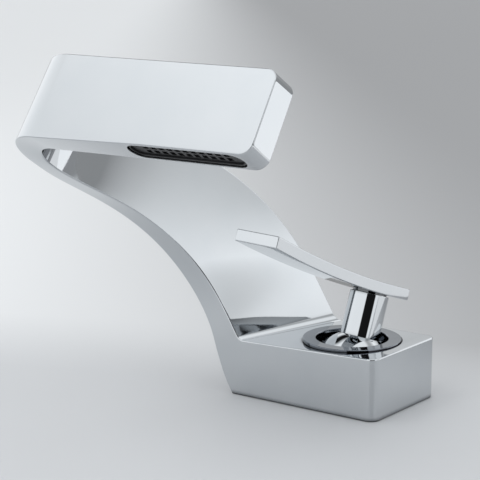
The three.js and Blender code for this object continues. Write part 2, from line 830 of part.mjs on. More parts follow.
const lever = placed([
  named("spindle", spindle(), STEEL()),
  named("ball_cover", ballCover(), CHROME()),
  named("stem", stem(), CHROME()),
  named("lever_blade", leverBlade(), CHROME()),
  named("set_screw", setScrew(), STEEL()),
  named("screw_plug", screwPlug(), CHROME()),
]);
lever.rotation.x = -TILT_REST;

const swivel = placed([
  named("spindle_guide", spindleGuide(), GREY_PLASTIC()),
  named("pivot_pin", pivotPin(), STEEL()),
  lever,
], AXIS_X, AXIS_Y, PIVOT_Z);
swivel.rotation.z = SWIVEL_REST;

const slidingDisc = placed([
  named("moving_disc", movingDisc(), CERAMIC()),
  named("disc_carrier", discCarrier(), GREY_PLASTIC()),
], 0, -SPINDLE_TIP_ARM * Math.sin(TILT_REST), 0);

const discTurn = placed([slidingDisc], AXIS_X, AXIS_Y, 0);
discTurn.rotation.z = SWIVEL_REST;

const faucet = placed([
  named("faucet_body", bodySolid(), CHROME()),
  named("outlet_frame", outletFrame(), BLACK_PLASTIC()),
  named("outlet_grille", outletGrille(), BLACK_PLASTIC()),
  cartridge,
  fixing,
  swivel,
  discTurn,
], -AXIS_X, -AXIS_Y, 0);

export default faucet;
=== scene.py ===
"""Basin mixer faucet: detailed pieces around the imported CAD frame. Lengths are in millimetres
until a mesh is made, from the lever axis at the deck plane, with +Z up and -Y to the basin."""
import json
import math

import bmesh
import bpy
import numpy as np
from mathutils import Matrix, Vector


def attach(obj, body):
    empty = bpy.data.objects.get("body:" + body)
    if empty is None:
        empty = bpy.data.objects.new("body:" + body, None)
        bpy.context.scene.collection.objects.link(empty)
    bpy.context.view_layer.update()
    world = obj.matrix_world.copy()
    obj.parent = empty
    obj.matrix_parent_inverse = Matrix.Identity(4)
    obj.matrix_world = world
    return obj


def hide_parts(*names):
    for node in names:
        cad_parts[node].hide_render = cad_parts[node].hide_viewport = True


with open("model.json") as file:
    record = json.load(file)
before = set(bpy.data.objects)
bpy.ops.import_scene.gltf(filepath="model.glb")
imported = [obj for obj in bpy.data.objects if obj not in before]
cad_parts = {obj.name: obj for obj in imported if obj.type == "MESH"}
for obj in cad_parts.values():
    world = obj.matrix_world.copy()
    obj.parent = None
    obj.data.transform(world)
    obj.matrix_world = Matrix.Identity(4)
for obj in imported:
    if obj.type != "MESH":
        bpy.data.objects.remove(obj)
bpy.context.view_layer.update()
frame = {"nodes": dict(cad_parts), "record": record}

MM = 0.001

# ---------------------------------------------------------------- dimensions of the CAD part
# The body's rows are measured from the block's near left corner on the deck.

BLOCK_CORNER = Vector((-50, -26, 0))

BLOCK_LENGTH, BLOCK_DEPTH, BLOCK_HEIGHT = 77.5, 53, 29
BLOCK_END_SKEW, BLOCK_END_RADIUS, BLOCK_TOP_FALL = 2.3, 5, 2
SPOUT_END, SPOUT_THICKNESS, SPOUT_WIDTH = 74, 14.4, 38
SPOUT_LEAN = math.radians(57)
SPOUT_FRONT_EDGE = Vector((0, -92.2, 130.8))
SPOUT_CORNER_RADIUS = 5.5
NEAR_FLARE, NEAR_FLARE_START = 0.026, 20
FAR_FLARE, FAR_FLARE_START = 0.0125, 24
NOSE_X, NOSE_DEPTH, NOSE_SKEW = -37, 36, 2
NOSE_OUTER_REACH, NOSE_INNER_REACH = 26.2, 16
ARM = [  # near and far edge of the inner face, lean in degrees, thickness
    ((-52, -56, 107.5), (-50.6, -35.4, 139.3), 57, 11.3),
    ((-48.6, -43.6, 100.4), (-42.7, -14.8, 127.8), 60, 12.2),
    ((-40.6, -26.7, 90.5), (-29.1, 11.4, 113.3), 53, 13.3),
    ((-29.2, -10.3, 75.3), (-14.6, 34, 94.6), 40, 12.9),
    ((-16.1, 0, 56.7), (-1.3, 49, 72.4), 14, 12.3),
    ((-1.9, 0, 36.6), (11.6, 53, 51.3), 0, 12.3),
]
CREASE_NEAR = Vector((3.9, 0, BLOCK_HEIGHT - BLOCK_TOP_FALL))
CREASE_FAR = Vector((24.8, BLOCK_DEPTH, BLOCK_HEIGHT))
FILLET_NEAR, FILLET_FAR = 2.2, 4
LEFT_END = [(-10, 22), (-8, 16.6), (-5.7, 10.5), (-3, 4.8), (0, 0)]
LEFT_END_SKEW = 24.5
PIVOT_Z = 14
SWIVEL_REST, TILT_REST = math.radians(-10), math.radians(19.3)
SLOT_CENTRE, SLOT_HALF_LENGTH, SLOT_HALF_WIDTH = 39.4, 28.8, 5.7
SPIGOT_RADIUS, SPIGOT_BOTTOM = 16.5, -12
BOSS_RADIUS, BOWL_RADIUS, RECESS_RADIUS = 14.2, 22.4, 23.5
INLET_X, INLET_Y, INLET_RADIUS = 6.5, 4, 4.9
PORT_X, PORT_Y, PORT_RADIUS = 5.4, 3, 1.5
STUD_Y = -11.5
SET_SCREW_Z = 25
GAP = 0.3
TINY = 0.01

# ---------------------------------------------------------------- mesh helpers


def new_object(name, mesh):
    obj = bpy.data.objects.new(name, mesh)
    bpy.context.scene.collection.objects.link(obj)
    return obj


def mesh_from(name, points, faces):
    """Object from points in millimetres, with its faces turned outward."""
    mesh = bpy.data.meshes.new(name)
    mesh.from_pydata([tuple(Vector(p) * MM) for p in points], [], faces)
    bm = bmesh.new()
    bm.from_mesh(mesh)
    bmesh.ops.remove_doubles(bm, verts=bm.verts, dist=1e-7)
    bmesh.ops.recalc_face_normals(bm, faces=bm.faces)
    bm.to_mesh(mesh)
    bm.free()
    return new_object(name, mesh)


def loft(name, sections):
    """Skin over rows of points, closed by a cap at each end."""
    count = len(sections[0])
    points = [p for row in sections for p in row]
    faces = []
    for row in range(len(sections) - 1):
        for i in range(count):
            j = (i + 1) % count
            a, b = row * count + i, row * count + j
            faces.append((a, b, b + count, a + count))
    last = (len(sections) - 1) * count
    faces.append(tuple(range(count))[::-1])
    faces.append(tuple(range(last, last + count)))
    return mesh_from(name, points, faces)


def revolve(name, profile, segments=96):
    """Closed profile of (radius, z) points turned about Z."""
    points, faces = [], []
    count = len(profile)
    for s in range(segments):
        angle = 2 * math.pi * s / segments
        points += [(r * math.cos(angle), r * math.sin(angle), z) for r, z in profile]
    for s in range(segments):
        t = (s + 1) % segments
        for i in range(count):
            j = (i + 1) % count
            faces.append((s * count + i, t * count + i, t * count + j, s * count + j))
    return mesh_from(name, points, faces)


def rounded(profile, radius, steps=4):
    """Closed profile of 2-D points with every corner turned into an arc.
    radius is one number, or one for each point."""
    out = []
    count = len(profile)
    radii = radius if isinstance(radius, (list, tuple)) else [radius] * count
    for i, corner in enumerate(profile):
        c = Vector(corner)
        if radii[i] <= 0:
            out.append(tuple(c))
            continue
        before, after = Vector(profile[i - 1]) - c, Vector(profile[(i + 1) % count]) - c
        reach = min(radii[i], before.length * 0.45, after.length * 0.45)
        start, end = c + before.normalized() * reach, c + after.normalized() * reach
        out += [tuple(bezier(start, c, end, k / steps)) for k in range(steps + 1)]
    return out


def bezier(start, middle, end, t):
    return start * (1 - t) ** 2 + middle * 2 * t * (1 - t) + end * t ** 2


def rod(name, radius, low, high, segments=64):
    points, faces = [], []
    for z in (low, high):
        for s in range(segments):
            angle = 2 * math.pi * s / segments
            points.append((radius * math.cos(angle), radius * math.sin(angle), z))
    for s in range(segments):
        t = (s + 1) % segments
        faces.append((s, t, segments + t, segments + s))
    faces += [tuple(range(segments))[::-1], tuple(range(segments, 2 * segments))]
    return mesh_from(name, points, faces)


def moved(obj, matrix):
    """Moves the mesh itself, so that its object stays at the origin."""
    obj.data.transform(matrix)
    return obj


def shift(x, y, z):
    return Matrix.Translation(Vector((x, y, z)) * MM)


def carve(obj, cutters, operation="DIFFERENCE"):
    """Applies one exact boolean for each cutter, and removes the cutters."""
    for cutter in cutters:
        modifier = obj.modifiers.new("carve", "BOOLEAN")
        modifier.operation = operation
        modifier.solver = "EXACT"
        modifier.object = cutter
        bake(obj)
        drop(cutter)
    return obj


def bake(obj):
    graph = bpy.context.evaluated_depsgraph_get()
    mesh = bpy.data.meshes.new_from_object(obj.evaluated_get(graph))
    obj.modifiers.clear()
    obj.data = mesh


def drop(obj):
    mesh = obj.data
    bpy.data.objects.remove(obj)
    bpy.data.meshes.remove(mesh)


def smooth(obj, angle=32, weighted=True):
    """Smooth shading with sharp edges above an angle, and flats kept flat."""
    for polygon in obj.data.polygons:
        polygon.use_smooth = True
    obj.data.set_sharp_from_angle(angle=math.radians(angle))
    if weighted:
        modifier = obj.modifiers.new("weighted", "WEIGHTED_NORMAL")
        modifier.keep_sharp = True
        modifier.weight = 60
    return obj


# ---------------------------------------------------------------- body ribbon

END_EDGE = 0.6
SECTION_ROUND = 0.7
NOSE_STEPS, FILLET_STEPS, STRAIGHT_STEPS = 32, 24, 24
EASING_ROUNDS = 40


def slab_point(x, depth, rise):
    across = Vector((0, math.cos(SPOUT_LEAN), math.sin(SPOUT_LEAN)))
    inward = Vector((0, math.sin(SPOUT_LEAN), -math.cos(SPOUT_LEAN)))
    point = SPOUT_FRONT_EDGE + across * rise + inward * depth
    return Vector((x, point.y, point.z))


def flare_at(x):
    """How far the outer face's near and far edges stand out beyond the inner face's."""
    return NEAR_FLARE * max(0, NEAR_FLARE_START - x), FAR_FLARE * (FAR_FLARE_START - x)


def slab_row(inner, outer, flare, inset=0.0, skew=0.0):
    near_flare, far_flare = flare
    return [
        slab_point(*inner, inset),
        slab_point(inner[0] + skew, inner[1], SPOUT_WIDTH - inset),
        slab_point(outer[0] + skew, outer[1], SPOUT_WIDTH - inset + far_flare),
        slab_point(*outer, inset - near_flare),
    ]


def drawn_in(radius, distance):
    """How far a rounded edge of that radius has come in at a distance from the end."""
    if distance >= radius:
        return 0.0
    return radius - math.sqrt(radius ** 2 - (radius - distance) ** 2)


def end_distances(corner_radius):
    """Distances from an end at which rows are drawn, for both of its roundings."""
    def arc(r, steps):
        return [r * (1 - math.sin(k / steps * math.pi / 2)) for k in range(steps + 1)]
    both = arc(corner_radius, 12) + [d for d in arc(END_EDGE, 6) if d > 0.004]
    return sorted({round(d, 4) for d in both})


def slab_end_rows():
    rows = []
    for d in end_distances(SPOUT_CORNER_RADIUS):
        x, thin = SPOUT_END - d, drawn_in(END_EDGE, d)
        inset = drawn_in(SPOUT_CORNER_RADIUS, d)
        rows.append(slab_row((x, SPOUT_THICKNESS - thin), (x, thin), flare_at(x), inset))
    return rows


def slab_rows(steps):
    """Straight part of the slab, whose outer face widens towards the nose."""
    start = SPOUT_END - SPOUT_CORNER_RADIUS
    rows = []
    for x in np.linspace(start, NOSE_X, steps + 1)[1:-1]:
        rows.append(slab_row((x, SPOUT_THICKNESS), (x, 0), flare_at(x)))
    return rows


def nose_rows(steps):
    rows = []
    widest = flare_at(NOSE_X)
    for k in range(steps + 1):
        angle = k / steps * math.pi / 2
        sine, turned = math.sin(angle), 1 - math.cos(angle)
        inner_depth = SPOUT_THICKNESS + (NOSE_DEPTH - SPOUT_THICKNESS) * turned
        inner = (NOSE_X - NOSE_INNER_REACH * sine, inner_depth)
        outer = (NOSE_X - NOSE_OUTER_REACH * sine, NOSE_DEPTH * turned)
        flare = [side * math.cos(angle) for side in widest]
        rows.append(slab_row(inner, outer, flare, skew=NOSE_SKEW))
    return rows


def fillet_starts():
    near = CREASE_NEAR + (Vector(ARM[-1][0]) - CREASE_NEAR).normalized() * FILLET_NEAR
    far = CREASE_FAR + (Vector(ARM[-1][1]) - CREASE_FAR).normalized() * FILLET_FAR
    return near, far


def arm_rows(nose_end):
    near_start, far_start = fillet_starts()
    near = [nose_end[0]] + [Vector(s[0]) for s in ARM] + [near_start]
    far = [nose_end[1]] + [Vector(s[1]) for s in ARM] + [far_start]

    def outer(edge, i, lean, thick):
        along = edge[i + 1] - edge[i - 1]
        side = Vector((0, math.cos(math.radians(lean)), math.sin(math.radians(lean))))
        return edge[i] - along.cross(side).normalized() * thick

    rows = []
    for i, (_, _, lean, thick) in enumerate(ARM, start=1):
        rows.append([near[i], far[i], outer(far, i, lean, thick), outer(near, i, lean, thick)])
    return rows


def fillet_rows(steps):
    near_start, far_start = fillet_starts()
    near_end = CREASE_NEAR + Vector((FILLET_NEAR, 0, 0))
    far_end = CREASE_FAR + Vector((FILLET_FAR, 0, 0))
    rows = []
    for k in range(steps + 1):
        t = k / steps
        x, z = (np.interp(t * (len(LEFT_END) - 1), range(len(LEFT_END)), column)
                for column in zip(*LEFT_END))
        rows.append([
            bezier(near_start, CREASE_NEAR, near_end, t),
            bezier(far_start, CREASE_FAR, far_end, t),
            Vector((x + LEFT_END_SKEW, BLOCK_DEPTH, z)),
            Vector((x, 0, z)),
        ])
    return rows


def block_end_rows():
    """Right end of the block, whose bottom edge is rounded less than its top."""
    bottom_share = 0.4
    rows = []
    for d in end_distances(BLOCK_END_RADIUS)[::-1]:
        near, inset = BLOCK_LENGTH - d, drawn_in(BLOCK_END_RADIUS, d)
        far, thin = near + BLOCK_END_SKEW, drawn_in(END_EDGE, d)
        rows.append([
            Vector((near, inset, BLOCK_HEIGHT - thin)),
            Vector((far, BLOCK_DEPTH - inset, BLOCK_HEIGHT - thin)),
            Vector((far, BLOCK_DEPTH - inset, thin * bottom_share)),
            Vector((near, inset, thin * bottom_share)),
        ])
    return rows


def rows_between(first, last, steps):
    """Rows blended from one row to another, without those two."""
    shares = [k / steps for k in range(1, steps)]
    return [[a.lerp(b, share) for a, b in zip(first, last)] for share in shares]


def spline(knots, samples_per_span):
    """Cubic spline with continuous curvature through points, spaced by their distance."""
    points = np.array([tuple(p) for p in knots])
    steps = np.linalg.norm(np.diff(points, axis=0), axis=1)
    count = len(points)
    matrix, right = np.zeros((count, count)), np.zeros((count, 3))
    matrix[0, 0] = matrix[-1, -1] = 1
    for i in range(1, count - 1):
        before, after = steps[i - 1], steps[i]
        matrix[i, i - 1:i + 2] = before, 2 * (before + after), after
        right[i] = 6 * ((points[i + 1] - points[i]) / after - (points[i] - points[i - 1]) / before)
    second = np.linalg.solve(matrix, right)
    out = []
    for i in range(count - 1):
        h = steps[i]
        for k in range(samples_per_span):
            b = k / samples_per_span
            a = 1 - b
            bend = ((a ** 3 - a) * second[i] + (b ** 3 - b) * second[i + 1]) * h * h / 6
            out.append(Vector(a * points[i] + b * points[i + 1] + bend))
    return out + [Vector(points[-1])]


def ribbon_rows():
    """Rows of four corner points: inner near, inner far, outer far, outer near."""
    per_span = 10
    nose = nose_rows(NOSE_STEPS)
    fillet = fillet_rows(FILLET_STEPS)
    before, after = nose[NOSE_STEPS // 2::NOSE_STEPS // 4], fillet[:FILLET_STEPS // 2 + 1:6]
    control = before + arm_rows(nose[-1]) + after
    rails = [spline([row[k] for row in control], per_span) for k in range(4)]
    arm = [list(row) for row in zip(*rails)]
    arm = arm[2 * per_span + 1:-2 * per_span - 1]
    rows = nose + arm + fillet
    low, high = len(nose) - 4, len(nose) + len(arm) + 2
    for _ in range(EASING_ROUNDS):
        eased = [list(row) for row in rows]
        for i in range(low, high):
            for k in range(4):
                eased[i][k] = rows[i][k] * 0.5 + (rows[i - 1][k] + rows[i + 1][k]) * 0.25
        rows = eased
    block_end = block_end_rows()
    block = rows_between(rows[-1], block_end[0], STRAIGHT_STEPS)
    return slab_end_rows() + slab_rows(STRAIGHT_STEPS) + rows + block + block_end


def ribbon_section(row, across=10, thick=3, arc_steps=5):
    """Outline of a row: its four corners rounded, and its faces cut into strips."""
    out = []
    for i, corner in enumerate(row):
        before, after = row[i - 1], row[(i + 1) % 4]
        room = 0.45 * min((before - corner).length, (after - corner).length)
        reach = min(SECTION_ROUND, room)
        start = corner + (before - corner).normalized() * reach
        end = corner + (after - corner).normalized() * reach
        out += [bezier(start, corner, end, k / arc_steps) for k in range(arc_steps + 1)]
        strips = across if i % 2 == 0 else thick
        nxt = after + (corner - after).normalized() * reach
        out += [end.lerp(nxt, k / strips) for k in range(1, strips)]
    return [p + BLOCK_CORNER for p in out]


# ---------------------------------------------------------------- body


def stadium(half_length, half_width, steps=24):
    straight = half_length - half_width
    right = [(straight + half_width * math.cos(a), half_width * math.sin(a))
             for a in np.linspace(-math.pi / 2, math.pi / 2, steps)]
    return right + [(-x, -y) for x, y in right]


def slot_matrix(rise):
    """From the slot's own space, with z up the slab, to the part."""
    z = Vector((0, math.cos(SPOUT_LEAN), math.sin(SPOUT_LEAN)))
    x = Vector((1, 0, 0))
    y = z.cross(x)
    origin = (slab_point(SLOT_CENTRE, SPOUT_THICKNESS / 2, rise) + BLOCK_CORNER) * MM
    matrix = Matrix((x, y, z)).transposed().to_4x4()
    matrix.translation = origin
    return matrix


def prism(name, outline, low, high):
    count = len(outline)
    points = [(x, y, z) for z in (low, high) for x, y in outline]
    faces = [(i, (i + 1) % count, count + (i + 1) % count, count + i) for i in range(count)]
    faces += [tuple(range(count))[::-1], tuple(range(count, 2 * count))]
    return mesh_from(name, points, faces)


def body():
    """The ribbon with its spigot, bowl, outlet slot, inlet bores, stud hole and seal groove."""
    obj = loft("body_polished", [ribbon_section(row) for row in ribbon_rows()])
    carve(obj, [rod("join", SPIGOT_RADIUS, SPIGOT_BOTTOM, 1, 96)], "UNION")
    seat, floor_z, boss_top, recess_floor, above = -2, 9, 15, 27.9, 40
    bore = BOSS_RADIUS - 1.5
    bowl = [(TINY, seat), (bore, seat), (bore, boss_top), (BOSS_RADIUS, boss_top),
            (BOSS_RADIUS, floor_z), (BOWL_RADIUS, floor_z), (BOWL_RADIUS, recess_floor),
            (RECESS_RADIUS, recess_floor), (RECESS_RADIUS, above), (TINY, above)]
    slot = prism("cut", stadium(SLOT_HALF_LENGTH, SLOT_HALF_WIDTH), -4, 9)
    below = SPIGOT_BOTTOM - 1
    cuts = [revolve("cut", bowl, 128), moved(slot, slot_matrix(0))]
    cuts += [moved(rod("cut", INLET_RADIUS, below, -5), shift(INLET_X * side, INLET_Y, 0))
             for side in (-1, 1)]
    cuts += [moved(rod("cut", PORT_RADIUS, -6, -1, 32), shift(PORT_X * side, PORT_Y, 0))
             for side in (-1, 1)]
    cuts.append(moved(rod("cut", 3.3, below, -4.5, 48), shift(0, STUD_Y, 0)))
    cuts.append(revolve("cut", [(18.9, -1), (21.1, -1), (21.1, 2), (18.9, 2)], 96))
    carve(obj, cuts)
    return smooth(obj)


# ---------------------------------------------------------------- outlet


def outlet_frame():
    half, length, wall = SLOT_HALF_WIDTH - GAP, SLOT_HALF_LENGTH - GAP, 1.0
    levels = rounded([(0, 0.6), (wall, 0.6), (wall, 5.6), (0, 5.6)], 0.3, 3)
    steps = 28
    outlines = {d: stadium(length - d, half - d, steps) for d, _ in levels}
    sections = [[(*outlines[d][i], z) for d, z in levels] for i in range(2 * steps)]
    count = len(levels)
    points = [p for row in sections for p in row]
    faces = []
    for s in range(len(sections)):
        t = (s + 1) % len(sections)
        for i in range(count):
            j = (i + 1) % count
            faces.append((s * count + i, t * count + i, t * count + j, s * count + j))
    return smooth(moved(mesh_from("outlet_rim", points, faces), slot_matrix(0)))


def outlet_grille():
    inset = 1.3 + GAP
    outline = stadium(SLOT_HALF_LENGTH - inset, SLOT_HALF_WIDTH - inset)
    plate = prism("outlet_screen", outline, 1.4, 4.4)
    column_pitch, row_pitch, h = 4, 3.6, 1.3
    holes = []
    for column in range(-5, 6):
        for row in (-0.5, 0.5):
            x, y = column * column_pitch, row * row_pitch
            square = [(x - h, y - h), (x + h, y - h), (x + h, y + h), (x - h, y + h)]
            holes.append(prism("cut", rounded(square, 0.35, 3), 1, 5))
    carve(plate, holes)
    return smooth(moved(plate, slot_matrix(0)))


# ---------------------------------------------------------------- ring and lever


def cover_ring():
    profile = [(16.8, 28.2), (20.7, 28.2), (20.7, 24), (22.1, 24), (22.1, 25.1), (21.2, 25.1),
               (21.2, 26.7), (22.1, 26.7), (22.1, 28.2), (23, 28.2), (23, 29.8), (16.8, 29.8)]
    radii = [0.3, 0.2, 0.25, 0.25, 0.1, 0.1, 0.1, 0.1, 0.15, 0.15, 0.45, 0.6]
    return smooth(revolve("ring_polished", rounded(profile, radii, 4), 160))


def lever_matrix():
    turn = Matrix.Rotation(SWIVEL_REST, 4, "Z") @ Matrix.Rotation(-TILT_REST, 4, "X")
    return Matrix.Translation(Vector((0, 0, PIVOT_Z)) * MM) @ turn


def ball_cover():
    radius, wall, hole, rim = 18.5, 1.3, 9.5, math.radians(75)

    def arc(r, steps=28):
        top = math.asin(hole / r)
        return [(r * math.sin(a), r * math.cos(a)) for a in np.linspace(rim, top, steps)]
    profile = arc(radius) + arc(radius - wall)[::-1]
    return smooth(moved(revolve("ball_polished", profile, 128), lever_matrix()))


def stem():
    profile = [(4, 14.6), (9.2, 14.6), (9.2, 36.7), (8.3, 36.7), (8.3, 32), (4, 32)]
    radii = [0.2, 0.5, 0.4, 0.15, 0.1, 0.1]
    obj = revolve("stem_polished", rounded(profile, radii, 4), 128)
    hole = moved(rod("cut", 2.3, 1, 10.2, 40), Matrix.Rotation(math.radians(-90), 4, "X"))
    carve(obj, [moved(hole, shift(0, 0, SET_SCREW_Z))])
    return smooth(moved(obj, lever_matrix()))


def blade():
    """Flat lever, wider at its tip and curved up to both ends, on the neck that joins the stem."""
    front, rear, tip, tail = 83.5, 19.2, 25.2, 16
    underside, thickness, edge, curve = 37.5, 5.4, 0.5, 0.00093
    steps, edge_steps = 60, 5
    length = front + rear
    ends = [edge * (1 - math.sin(k / edge_steps * math.pi / 2)) for k in range(edge_steps, 0, -1)]
    along = ends + list(np.linspace(edge, length - edge, steps)) + [length - d for d in ends[::-1]]
    sections = []
    for d in along:
        y = d - front
        inset = drawn_in(edge, min(d, length - d))
        half = (tip + (tail - tip) * d / length) / 2 - inset
        low = underside + curve * y * y + inset
        high = low + thickness - 2 * inset
        corners = [(half, low), (half, high), (-half, high), (-half, low)]
        sections.append([(x, y, z) for x, z in rounded(corners, edge, 4)])
    obj = loft("blade_polished", sections)
    carve(obj, [rod("join", 8, 32.4, 39, 96)], "UNION")
    return smooth(moved(obj, lever_matrix()))


def screw_plug():
    profile = [(TINY, 0), (2, 0), (2, 1.5), (TINY, 1.5)]
    obj = revolve("plug_cap", rounded(profile, [0, 0.1, 0.3, 0], 4), 48)
    moved(obj, Matrix.Rotation(math.radians(-90), 4, "X"))
    return smooth(moved(moved(obj, shift(0, 7.3, SET_SCREW_Z)), lever_matrix()))


# ---------------------------------------------------------------- deck fixing


def threaded_stud():
    """M6 stud with a real helical thread and a plain top."""
    low, high, pitch, crest, root = -62, -5, 1.0, 3.0, 2.45
    segments, per_pitch = 32, 8
    rows = int((high - low) / pitch * per_pitch)
    sections = []
    for i in range(rows + 1):
        z = low + i * pitch / per_pitch
        fade = min(1, z - low + 0.1, high - z + 0.1) if 0 < i < rows else 0
        section = []
        for s in range(segments):
            angle = 2 * math.pi * s / segments
            phase = (z / pitch - s / segments) % 1
            depth = min(1, max(0, 1.25 - abs(phase - 0.5) * 3))
            r = root + (crest - root) * (1 - depth) * fade
            section.append((r * math.cos(angle), r * math.sin(angle) + STUD_Y, z))
        sections.append(section)
    return smooth(loft("stud_threaded", sections), 60, weighted=False)


def fixing_nut():
    hexagon = [(5.8 * math.cos(a), 5.8 * math.sin(a)) for a in np.linspace(0, 2 * math.pi, 7)[:6]]
    obj = prism("nut_hexagon", rounded(hexagon, 0.25, 2), -45, -36.7)
    chamfer = revolve("trim", [(TINY, -45.2), (4.9, -45.2), (6.4, -44.1), (6.4, -37.6),
                               (4.9, -36.5), (TINY, -36.5)], 72)
    carve(obj, [chamfer], "INTERSECT")
    carve(obj, [rod("cut", 3.2, -46, -36, 48)])
    return smooth(moved(obj, shift(0, STUD_Y, 0)))


# ---------------------------------------------------------------- materials


def node_material(name, color, metallic, roughness):
    material = bpy.data.materials.new(name)
    material.use_nodes = True
    tree = material.node_tree
    shader = tree.nodes["Principled BSDF"]
    shader.inputs["Base Color"].default_value = (*color, 1)
    shader.inputs["Metallic"].default_value = metallic
    shader.inputs["Roughness"].default_value = roughness
    return material, tree, shader


def noise(tree, scale, detail=3.0, stretch=None):
    coords = tree.nodes.new("ShaderNodeTexCoord")
    texture = tree.nodes.new("ShaderNodeTexNoise")
    texture.inputs["Scale"].default_value = scale
    texture.inputs["Detail"].default_value = detail
    if stretch:
        mapping = tree.nodes.new("ShaderNodeMapping")
        mapping.inputs["Scale"].default_value = stretch
        tree.links.new(coords.outputs["Object"], mapping.inputs["Vector"])
        tree.links.new(mapping.outputs["Vector"], texture.inputs["Vector"])
    else:
        tree.links.new(coords.outputs["Object"], texture.inputs["Vector"])
    return texture


def dot_with(tree, vector, axis):
    dot = tree.nodes.new("ShaderNodeVectorMath")
    dot.operation = "DOT_PRODUCT"
    dot.inputs[1].default_value = axis
    tree.links.new(vector, dot.inputs[0])
    return dot.outputs["Value"]


def maths(tree, operation, *values):
    node = tree.nodes.new("ShaderNodeMath")
    node.operation = operation
    for socket, value in zip(node.inputs, values):
        tree.links.new(value, socket)
    return node.outputs["Value"]


def stepped(tree, value, zero_at, one_at):
    """Straight ramp between two values, flat outside them. zero_at may be the larger one."""
    reach = tree.nodes.new("ShaderNodeMapRange")
    reach.inputs["From Min"].default_value = zero_at
    reach.inputs["From Max"].default_value = one_at
    tree.links.new(value, reach.inputs["Value"])
    return reach.outputs["Result"]


def ranged(tree, source, low, high):
    """Noise, which stays mostly between 0.3 and 0.7, spread over low to high."""
    mapper = tree.nodes.new("ShaderNodeMapRange")
    mapper.inputs["From Min"].default_value = 0.3
    mapper.inputs["From Max"].default_value = 0.7
    mapper.inputs["To Min"].default_value = low
    mapper.inputs["To Max"].default_value = high
    tree.links.new(source, mapper.inputs["Value"])
    return mapper.outputs["Result"]


def tinted(tree, source, dark, light):
    ramp = tree.nodes.new("ShaderNodeValToRGB")
    ramp.color_ramp.elements[0].color = (*dark, 1)
    ramp.color_ramp.elements[1].color = (*light, 1)
    tree.links.new(ranged(tree, source, 0, 1), ramp.inputs["Fac"])
    return ramp.outputs["Color"]


def blended(tree, share, before, after):
    """Colour that goes from before to after as the share goes from 0 to 1.
    before is a socket, and after is a socket or a fixed colour."""
    mix = tree.nodes.new("ShaderNodeMix")
    mix.data_type = "RGBA"
    share_in, before_in, after_in = mix.inputs[0], mix.inputs[6], mix.inputs[7]
    tree.links.new(share, share_in)
    tree.links.new(before, before_in)
    if isinstance(after, bpy.types.NodeSocket):
        tree.links.new(after, after_in)
    else:
        after_in.default_value = (*after, 1)
    return mix.outputs[2]


def painted_crevice_shade(tree, reach):
    """One in crevices narrower than the reach in metres: the mask for painted shade in creases and
    joins, found by ambient occlusion.
    """
    occlusion = tree.nodes.new("ShaderNodeAmbientOcclusion")
    occlusion.samples = 8
    occlusion.inputs["Distance"].default_value = reach
    return stepped(tree, occlusion.outputs["AO"], 0.85, 0.55)


def bumped(tree, shader, source, strength, distance):
    bump = tree.nodes.new("ShaderNodeBump")
    bump.inputs["Strength"].default_value = strength
    bump.inputs["Distance"].default_value = distance
    tree.links.new(source, bump.inputs["Height"])
    tree.links.new(bump.outputs["Normal"], shader.inputs["Normal"])


def chrome(name, dark, light, low, high):
    """Polished plate: faint film in colour and gloss, a trace of polishing waviness, and painted
    shade darkening its crevices.
    """
    material, tree, shader = node_material(name, light, 1, high)
    film = noise(tree, 38, 4)
    clean = tinted(tree, film.outputs["Fac"], dark, light)
    # painted shade: crevices and joins darkened towards a fifth of the dark tone
    painted_shade_colour = [0.2 * value for value in dark]
    colour = blended(tree, painted_crevice_shade(tree, 3.5 * MM), clean, painted_shade_colour)
    tree.links.new(colour, shader.inputs["Base Color"])
    wipe = noise(tree, 120, 5, (1.0, 0.35, 1.0))
    tree.links.new(ranged(tree, wipe.outputs["Fac"], low, high), shader.inputs["Roughness"])
    wave = noise(tree, 55, 1)
    bumped(tree, shader, wave.outputs["Fac"], 0.012, 0.0006)
    return material


def metal(name, dark, light, low, high, scale=400, stretch=None, bump=0.1):
    material, tree, shader = node_material(name, light, 1, high)
    grain = noise(tree, scale, 6, stretch)
    tree.links.new(tinted(tree, grain.outputs["Fac"], dark, light), shader.inputs["Base Color"])
    tree.links.new(ranged(tree, grain.outputs["Fac"], low, high), shader.inputs["Roughness"])
    bumped(tree, shader, grain.outputs["Fac"], bump, 0.0001)
    return material


def moulded(name, dark, light, low, high, scale=900, bump=0.15, mottle=40):
    """Moulded rubber, plastic or lapped ceramic: fine surface grain over a soft mottle."""
    material, tree, shader = node_material(name, light, 0, high)
    cloud = noise(tree, mottle, 3)
    tree.links.new(tinted(tree, cloud.outputs["Fac"], dark, light), shader.inputs["Base Color"])
    grain = noise(tree, scale, 4)
    tree.links.new(ranged(tree, grain.outputs["Fac"], low, high), shader.inputs["Roughness"])
    bumped(tree, shader, grain.outputs["Fac"], bump, 0.00008)
    return material


materials = {
    "chrome": chrome("chrome_plate", (0.555, 0.578, 0.598), (0.58, 0.598, 0.615), 0.025, 0.06),
    "dark_chrome": chrome("dark_chrome", (0.19, 0.21, 0.235), (0.225, 0.24, 0.265), 0.05, 0.1),
    "brass": metal("machined_brass", (0.5, 0.36, 0.13), (0.68, 0.5, 0.22), 0.2, 0.38,
                   stretch=(1, 1, 12)),
    "steel": metal("turned_steel", (0.42, 0.43, 0.44), (0.58, 0.59, 0.6), 0.22, 0.42,
                   stretch=(1, 1, 12)),
    "rubber": moulded("black_rubber", (0.012, 0.012, 0.012), (0.03, 0.03, 0.029), 0.6, 0.85),
    "black_plastic": moulded("black_plastic", (0.008, 0.008, 0.009), (0.02, 0.02, 0.022),
                             0.3, 0.5),
    "white_plastic": moulded("white_plastic", (0.66, 0.64, 0.58), (0.76, 0.74, 0.68), 0.35, 0.5),
    "grey_plastic": moulded("grey_plastic", (0.2, 0.23, 0.26), (0.27, 0.3, 0.33), 0.35, 0.55),
    "ceramic": moulded("lapped_ceramic", (0.78, 0.76, 0.7), (0.88, 0.86, 0.81), 0.1, 0.22,
                       bump=0.03),
}

